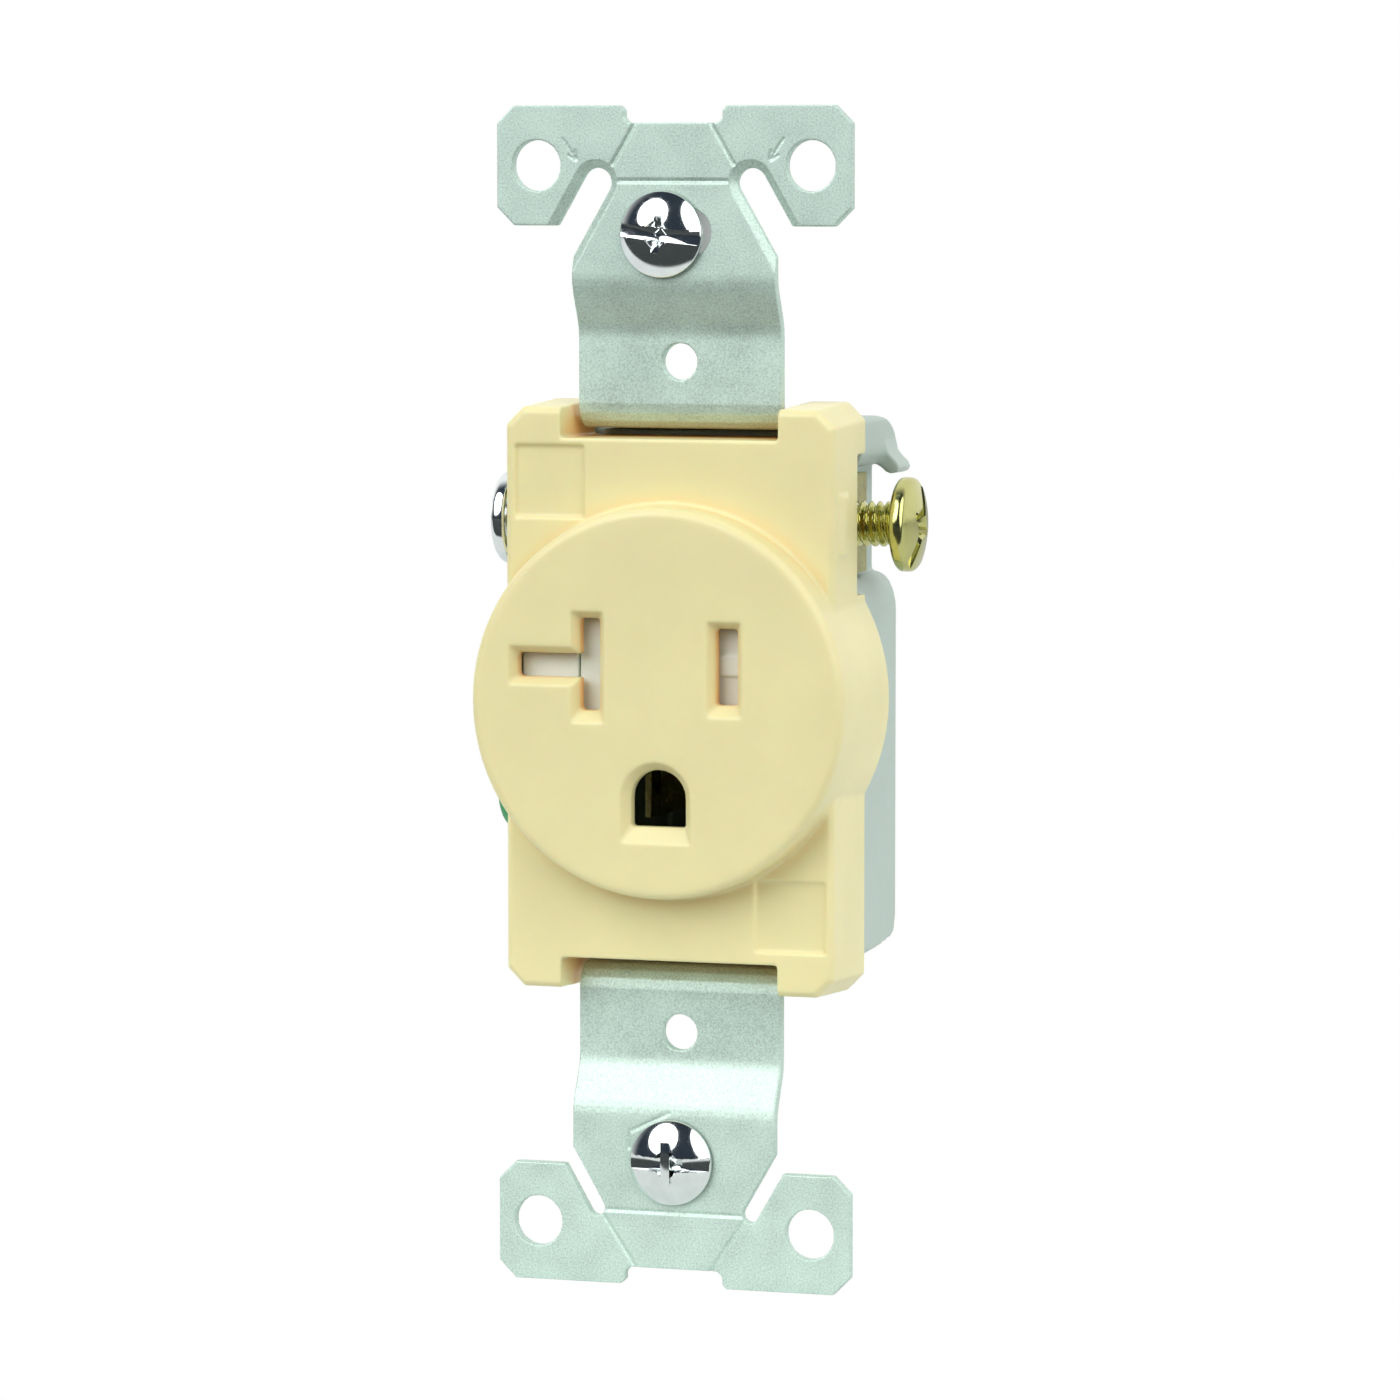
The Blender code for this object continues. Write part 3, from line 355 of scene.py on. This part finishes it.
def tapered_cutter(outline, top, bottom, share):
    """Cutter with an outline at its top that has shrunk to a share of itself at its bottom."""
    bm = bmesh.new()
    rings = []
    for z, shrink in ((top, 1.0), (bottom, share)):
        rings.append(ring(bm, [(x * shrink, y * shrink, z) for x, y in outline]))
    bm.faces.new(rings[0])
    bm.faces.new(rings[1])
    bridge(bm, rings[0], rings[1])
    return add_object("cutter", mesh_from(bm, "cutter"))


def oblong(half_x, half_y):
    return [(-half_x, -half_y), (half_x, -half_y), (half_x, half_y), (-half_x, half_y)]


def diamond(reach):
    return [(reach, 0), (0, reach), (-reach, 0), (0, -reach)]


def combine(piece, other, operation):
    modifier = piece.modifiers.new("combine", "BOOLEAN")
    modifier.operation = operation
    modifier.solver = "EXACT"
    modifier.object = other
    bake_modifiers(piece)
    bpy.data.objects.remove(other)


def bevel(piece, width):
    """Breaks a piece's sharp edges, and shades it smooth between the ones that are left."""
    modifier = piece.modifiers.new("bevel", "BEVEL")
    modifier.width = width
    modifier.segments = 2
    modifier.limit_method = "ANGLE"
    modifier.angle_limit = math.radians(32)
    bake_modifiers(piece)


def threaded_shank(radius, length):
    """A thread on -Z that reaches a little way into the head and narrows at its tip."""
    segments, rows_per_turn = 48, 14
    whole = length + THREAD_IN_HEAD
    rows = int(whole / THREAD_PITCH * rows_per_turn)
    bm = bmesh.new()
    rings = []
    for row in range(rows + 1):
        z = -length + whole * row / rows
        points = []
        for i in range(segments):
            turn = i / segments
            phase = (z / THREAD_PITCH - turn) % 1.0
            # Flat crests and roots with straight flanks between them
            valley = min(1.0, max(0.0, abs(2 * phase - 1) * 1.35 - 0.2))
            r = radius - THREAD_DEPTH * valley
            r = min(r, radius - POINT_TAPER + (z + length) * POINT_SLOPE)
            angle = 2 * math.pi * turn
            points.append((r * math.cos(angle), r * math.sin(angle), z))
        rings.append(ring(bm, points))
    bm.faces.new(rings[0])
    bm.faces.new(rings[-1])
    for lower, upper in zip(rings, rings[1:]):
        bridge(bm, lower, upper)
    return add_object("shank", mesh_from(bm, "shank"))


def aimed(centre, direction, turn):
    """Matrix that turns +Z into a direction, +Y upwards, then turns the piece about its own axis."""
    facing = Vector(direction).to_track_quat("Z", "Y").to_matrix().to_4x4()
    return Matrix.Translation(centre) @ facing @ Matrix.Rotation(turn, 4, "Z")


def detailed_screw(node, slot, material, direction, head, shank_radius, turn=0.0):
    """A screw with a real thread, a drive slot and a cross recess, in the place of a plain one.

    head is its height, the height of its rim and the rounding of the rim's edges.
    """
    head_height, band, rounding = head
    low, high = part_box(node)
    along = [i for i in range(3) if direction[i]][0]
    across = [i for i in range(3) if i != along]
    centre = (low + high) / 2
    outermost = high[along] if direction[along] > 0 else low[along]
    innermost = low[along] if direction[along] > 0 else high[along]
    centre[along] = outermost - direction[along] * head_height
    shank_length = abs(centre[along] - innermost)
    head_radius = (high[across[0]] - low[across[0]]) / 2
    piece = screw_head(node + "_detailed", head_radius, head_height, band, rounding)
    wing = WING_REACH * head_radius
    above = head_height + 0.2 * MM
    slot_floor = band + 0.45 * rounding + SLOT_FLOOR_LIFT
    slot_cut = (oblong(head_radius * 1.2, SLOT_HALF_WIDTH), slot_floor, 1.0)
    centre_cut = (diamond(wing * 0.9), 0.2 * head_height, 0.25)
    wing_cut = (oblong(WING_HALF_WIDTH, wing), 0.42 * head_height, 0.45)
    for outline, bottom, share in (slot_cut, centre_cut, wing_cut):
        combine(piece, tapered_cutter(outline, above, bottom, share), "DIFFERENCE")
    bevel(piece, HEAD_BEVEL)
    combine(piece, threaded_shank(shank_radius, shank_length), "UNION")
    piece.data.set_sharp_from_angle(angle=math.radians(38))
    piece.data.transform(aimed(centre, direction, turn))
    finish_piece(piece, node, material)


def coil_spring(node, material):
    """Compression spring with open ends.

    Its coils stand closest at a quarter and at three quarters of its length.
    """
    low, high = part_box(node)
    wire = 0.13 * MM
    bunching = 0.03
    coil = (high.z - low.z) / 2 - wire
    centre = (low + high) / 2
    turns, steps, sides = 7, 28, 10
    bm = bmesh.new()
    rings = []
    total = turns * steps
    for i in range(total + 1):
        t = i / total
        along = t + bunching * math.sin(4 * math.pi * t)
        x = low.x + wire + (high.x - low.x - 2 * wire) * along
        angle = 2 * math.pi * i / steps
        outward = Vector((0, math.cos(angle), math.sin(angle)))
        middle = Vector((x, centre.y, centre.z)) + outward * coil
        points = []
        for side in range(sides):
            turn = 2 * math.pi * side / sides
            points.append(middle + (outward * math.cos(turn) + Vector((1, 0, 0)) * math.sin(turn)) * wire)
        rings.append(ring(bm, points))
    bm.faces.new(rings[0])
    bm.faces.new(rings[-1])
    for lower, upper in zip(rings, rings[1:]):
        bridge(bm, lower, upper)
    piece = add_object("shutter_spring_coil", mesh_from(bm, "shutter_spring_coil"))
    piece.data.shade_smooth()
    finish_piece(piece, node, material)
    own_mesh(piece)


# ---------------------------------------------------------------- studio

def aim(thing, target):
    thing.rotation_mode = "QUATERNION"
    thing.rotation_quaternion = (Vector(target) - thing.location).to_track_quat("-Z", "Y")


def direction_from(azimuth, elevation):
    """Unit vector towards a place round the device; azimuth 0 is in front and 90 to the right."""
    a, e = math.radians(azimuth), math.radians(elevation)
    return Vector((math.sin(a) * math.cos(e), -math.cos(a) * math.cos(e), math.sin(e)))


def softbox(name, azimuth, elevation, width, height, power):
    """A large oval light aimed at the device, which the camera itself doesn't see."""
    light = bpy.data.lights.new(name, "AREA")
    light.shape = "ELLIPSE"
    light.size = width
    light.size_y = height
    light.energy = power
    lamp = bpy.data.objects.new(name, light)
    bpy.context.scene.collection.objects.link(lamp)
    lamp.location = direction_from(azimuth, elevation) * SOFTBOX_DISTANCE
    lamp.visible_camera = False
    aim(lamp, (0, 0, 0))


def studio_world():
    """White behind the device and a dim room in front of it; the camera sees it all as white."""
    world = bpy.data.worlds.new("studio")
    world.use_nodes = True
    tree = world.node_tree
    background = tree.nodes["Background"]
    place = tree.nodes.new("ShaderNodeTexCoord")
    split = tree.nodes.new("ShaderNodeSeparateXYZ")
    tree.links.new(place.outputs["Generated"], split.inputs["Vector"])
    towards_back = tree.nodes.new("ShaderNodeMapRange")
    towards_back.interpolation_type = "SMOOTHSTEP"
    towards_back.inputs["From Min"].default_value = -0.25
    towards_back.inputs["From Max"].default_value = 0.35
    tree.links.new(split.outputs["Y"], towards_back.inputs["Value"])
    mix = tree.nodes.new("ShaderNodeMix")
    mix.data_type = "RGBA"
    mix.inputs["A"].default_value = DIM_ROOM
    mix.inputs["B"].default_value = PURE_WHITE
    tree.links.new(towards_back.outputs["Result"], mix.inputs["Factor"])
    seen = tree.nodes.new("ShaderNodeMix")
    seen.data_type = "RGBA"
    seen.inputs["B"].default_value = PURE_WHITE
    path = tree.nodes.new("ShaderNodeLightPath")
    tree.links.new(path.outputs["Is Camera Ray"], seen.inputs["Factor"])
    tree.links.new(mix.outputs["Result"], seen.inputs["A"])
    tree.links.new(seen.outputs["Result"], background.inputs["Color"])
    bpy.context.scene.world = world


def studio_floor():
    """White sheet under the device and dark floor in front; the camera sees it all as white."""
    bm = bmesh.new()
    bm.faces.new(ring(bm, [(x, y, FLOOR_Z) for x, y in oblong(FLOOR_REACH, FLOOR_REACH)]))
    floor = add_object("floor", mesh_from(bm, "floor"))
    look = Look("floor_white", (0.5, 0.5, 0.5), 0.8)
    look.set("Specular IOR Level", 0.0)
    split = look.tree.nodes.new("ShaderNodeSeparateXYZ")
    look.tree.links.new(look.place, split.inputs["Vector"])
    sheet = look.tree.nodes.new("ShaderNodeMapRange")
    sheet.inputs["From Min"].default_value = FLOOR_DARK_Y
    sheet.inputs["From Max"].default_value = FLOOR_WHITE_Y
    look.tree.links.new(split.outputs["Y"], sheet.inputs["Value"])
    look.colour_by(sheet.outputs["Result"], [(0.0, DARK_COLOUR), (1.0, SHEET_COLOUR)])
    glow = look.tree.nodes.new("ShaderNodeEmission")
    path = look.tree.nodes.new("ShaderNodeLightPath")
    either = look.tree.nodes.new("ShaderNodeMixShader")
    look.tree.links.new(path.outputs["Is Camera Ray"], either.inputs["Fac"])
    look.tree.links.new(look.shader.outputs["BSDF"], either.inputs[1])
    look.tree.links.new(glow.outputs["Emission"], either.inputs[2])
    look.tree.links.new(either.outputs["Shader"], look.tree.nodes["Material Output"].inputs["Surface"])
    floor.data.materials.append(look.material)


def studio_camera():
    camera_data = bpy.data.cameras.new("camera")
    camera_data.lens = CAMERA_LENS
    camera_data.sensor_width = CAMERA_SENSOR
    camera_data.clip_start = 0.01
    camera_data.clip_end = 20.0
    camera = bpy.data.objects.new("camera", camera_data)
    bpy.context.scene.collection.objects.link(camera)
    away = direction_from(CAMERA_AZIMUTH, CAMERA_ELEVATION)
    camera.location = CAMERA_TARGET + away * CAMERA_DISTANCE
    aim(camera, CAMERA_TARGET)
    bpy.context.scene.camera = camera


# ---------------------------------------------------------------- the device

BODY_OF = {}
for body_name, body_nodes in frame["record"]["behaviour"]["bodies"].items():
    for node_name in body_nodes:
        BODY_OF[node_name] = body_name

# Ivory with painted orange shade in its hollows: under the boss, round the slots and in the corners
IVORY = moulded_plastic("ivory_plastic", (0.86, 0.79, 0.43), 0.35, scatter=0.3,
                        crevice_shade_colour=(0.88, 0.50, 0.17))
GREY = moulded_plastic("grey_plastic", (0.48, 0.58, 0.52), 0.42, scatter=0.05)
WHITE = moulded_plastic("white_plastic", (0.91, 1.0, 0.88), 0.4)
ZINC = galvanized_steel()
BRASS = stamped_brass()
BRASS_PLATE = plated("brass_plating", (0.57, 0.56, 0.22), 0.14)
BRIGHT_PLATE = plated("bright_plating", (0.82, 0.86, 0.86), 0.08)
GREEN_PLATE = plated("green_plating", (0.10, 0.38, 0.17), 0.25)
SPRING_STEEL = plated("spring_steel", (0.55, 0.56, 0.57), 0.25)
NYLON = natural_nylon()


def paint(node, material):
    """Gives a CAD node that keeps its own shape a finished material."""
    for slot in frame["nodes"][node].material_slots:
        slot.material = material


def dress_device():
    softened_copy("face_cover", IVORY, voxel=0.16 * MM, rounds=4, keep=0.25)
    softened_copy("base_housing", GREY, voxel=0.18 * MM, rounds=3, keep=0.2)
    softened_copy("mounting_strap", ZINC, voxel=0.12 * MM, rounds=1, keep=0.15)
    for node in ("shutter_slider", "cross_shutter"):
        softened_copy(node, WHITE, voxel=0.1 * MM, rounds=3, keep=0.3)
    paint("shutter_platform", WHITE)
    for node in ("hot_contact", "neutral_contact", "ground_contact"):
        paint(node, BRASS)
    for node in ("retaining_washer_top", "retaining_washer_bottom"):
        paint(node, NYLON)
    paint("ground_rivet", ZINC)
    coil_spring("shutter_spring", SPRING_STEEL)
    terminal = {"head": (2.1 * MM, 0.85 * MM, 0.6 * MM), "shank_radius": 2.05 * MM}
    detailed_screw("hot_terminal_screw", "screw_brass", BRASS_PLATE, (1, 0, 0), turn=1.1, **terminal)
    detailed_screw("neutral_terminal_screw", "screw_bright", BRIGHT_PLATE, (-1, 0, 0), turn=0.3, **terminal)
    detailed_screw("ground_terminal_screw", "screw_green", GREEN_PLATE, (-1, 0, 0), turn=1.1, **terminal)
    box_screw = {"head": (1.9 * MM, 0.4 * MM, 0.16 * MM), "shank_radius": 1.7 * MM}
    detailed_screw("mounting_screw_top", "screw_bright", BRIGHT_PLATE, (0, -1, 0), turn=-0.11, **box_screw)
    detailed_screw("mounting_screw_bottom", "screw_bright", BRIGHT_PLATE, (0, -1, 0), **box_screw)
    rear_screw = {"head": (1.5 * MM, 0.35 * MM, 0.16 * MM), "shank_radius": 1.2 * MM}
    for node in ("assembly_screw_top", "assembly_screw_bottom"):
        detailed_screw(node, "galvanized", ZINC, (0, 1, 0), turn=0.7, **rear_screw)


studio_camera()
studio_world()
studio_floor()
softbox("key_left", azimuth=-32, elevation=33, width=1.6, height=1.6, power=23.0)
softbox("key_right", azimuth=57, elevation=29, width=1.44, height=2.0, power=17.5)
dress_device()
bpy.context.scene.view_settings.view_transform = "Standard"
